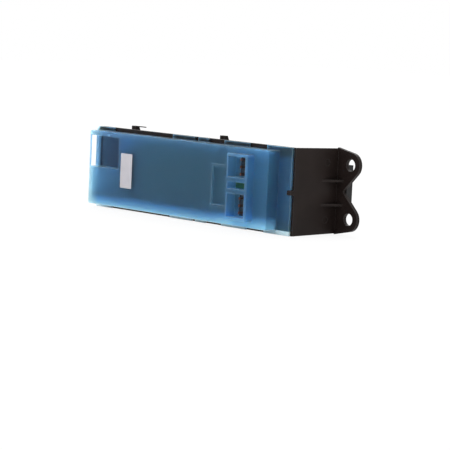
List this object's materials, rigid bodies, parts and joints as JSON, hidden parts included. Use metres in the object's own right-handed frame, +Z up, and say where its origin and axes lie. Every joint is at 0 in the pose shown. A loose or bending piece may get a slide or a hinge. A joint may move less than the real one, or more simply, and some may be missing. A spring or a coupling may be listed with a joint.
{
  "type": "power window switch",
  "caption": "Driver's-door power window switch: blue rear cover with plug socket, black housing with two screw ears, tilting window knobs, lock rocker and button.",
  "frame": {"origin": "midway between the two ear screws, on the seating face of the ears", "axes": "+X along the long side towards the ears, +Y from the rear cover towards the knobs, +Z up with the switch on its long lower side"},
  "size_m": [0.1953, 0.0625, 0.0514],
  "materials": {
    "black_moulding": "satin moulded",
    "blue_cover": "translucent satin blue",
    "knob_plastic": "fine grain",
    "label_paper": "matt",
    "board_green": "solder resist",
    "terminal_metal": "tinned copper alloy",
    "carriage_plastic": "natural",
    "chip_black": "matt",
    "can_metal": "satin"
  },
  "bodies": {
    "case": {"housing": "black_moulding", "rear_cover": "blue_cover", "front_panel": "black_moulding", "label": "label_paper", "circuit_board": "board_green", "pin_header_upper": "chip_black", "pin_header_lower": "chip_black", "terminal_upper_1": "terminal_metal", "terminal_upper_2": "terminal_metal", "terminal_upper_3": "terminal_metal", "terminal_lower_1": "terminal_metal", "terminal_lower_2": "terminal_metal", "terminal_lower_3": "terminal_metal", "lock_switch": "chip_black", "controller": "chip_black", "capacitor": "can_metal"},
    "window_knob_1": {"window_knob_1": "knob_plastic"},
    "carriage_1": {"carriage_1": "carriage_plastic", "contact_bridge_1": "terminal_metal"},
    "window_knob_2": {"window_knob_2": "knob_plastic"},
    "carriage_2": {"carriage_2": "carriage_plastic", "contact_bridge_2": "terminal_metal"},
    "window_knob_3": {"window_knob_3": "knob_plastic"},
    "carriage_3": {"carriage_3": "carriage_plastic", "contact_bridge_3": "terminal_metal"},
    "window_knob_4": {"window_knob_4": "knob_plastic"},
    "carriage_4": {"carriage_4": "carriage_plastic", "contact_bridge_4": "terminal_metal"},
    "door_lock_rocker": {"door_lock_rocker": "knob_plastic"},
    "rocker_carriage": {"rocker_carriage": "carriage_plastic", "rocker_contact_bridge": "terminal_metal"},
    "lock_button": {"lock_button": "knob_plastic"}
  },
  "joints": [
    {"name": "window_knob_1_tilt", "type": "hinge", "parent": "case", "child": "window_knob_1", "pos_m": [-0.1432, -0.0035, -0.01], "axis": [0, 0, 1], "range_deg": [-10, 10], "stiffness_Nm_per_rad": 0.2},
    {"name": "carriage_1_slide", "type": "slide", "parent": "case", "child": "carriage_1", "axis": [1, 0, 0], "range_m": [-0.00201, 0.00201]},
    {"name": "window_knob_2_tilt", "type": "hinge", "parent": "case", "child": "window_knob_2", "pos_m": [-0.1432, -0.0035, 0.01], "axis": [0, 0, 1], "range_deg": [-10, 10], "stiffness_Nm_per_rad": 0.2},
    {"name": "carriage_2_slide", "type": "slide", "parent": "case", "child": "carriage_2", "axis": [1, 0, 0], "range_m": [-0.00201, 0.00201]},
    {"name": "window_knob_3_tilt", "type": "hinge", "parent": "case", "child": "window_knob_3", "pos_m": [-0.1132, -0.0035, -0.01], "axis": [0, 0, 1], "range_deg": [-10, 10], "stiffness_Nm_per_rad": 0.2},
    {"name": "carriage_3_slide", "type": "slide", "parent": "case", "child": "carriage_3", "axis": [1, 0, 0], "range_m": [-0.00201, 0.00201]},
    {"name": "window_knob_4_tilt", "type": "hinge", "parent": "case", "child": "window_knob_4", "pos_m": [-0.1132, -0.0035, 0.01], "axis": [0, 0, 1], "range_deg": [-10, 10], "stiffness_Nm_per_rad": 0.2},
    {"name": "carriage_4_slide", "type": "slide", "parent": "case", "child": "carriage_4", "axis": [1, 0, 0], "range_m": [-0.00201, 0.00201]},
    {"name": "door_lock_rocker_tilt", "type": "hinge", "parent": "case", "child": "door_lock_rocker", "pos_m": [-0.0528, -0.0035, 0], "axis": [0, 0, 1], "range_deg": [-10, 10], "stiffness_Nm_per_rad": 0.2},
    {"name": "rocker_carriage_slide", "type": "slide", "parent": "case", "child": "rocker_carriage", "axis": [1, 0, 0], "range_m": [-0.00201, 0.00201]},
    {"name": "lock_button_press", "type": "slide", "parent": "case", "child": "lock_button", "axis": [0, -1, 0], "range_m": [0, 0.0025], "stiffness_N_per_m": 600}
  ],
  "couplings": [
    {"joint": "window_knob_1_tilt", "follows": "carriage_1_slide", "rad_per_m": 86.957},
    {"joint": "window_knob_2_tilt", "follows": "carriage_2_slide", "rad_per_m": 86.957},
    {"joint": "window_knob_3_tilt", "follows": "carriage_3_slide", "rad_per_m": 86.957},
    {"joint": "window_knob_4_tilt", "follows": "carriage_4_slide", "rad_per_m": 86.957},
    {"joint": "door_lock_rocker_tilt", "follows": "rocker_carriage_slide", "rad_per_m": 86.957}
  ]
}
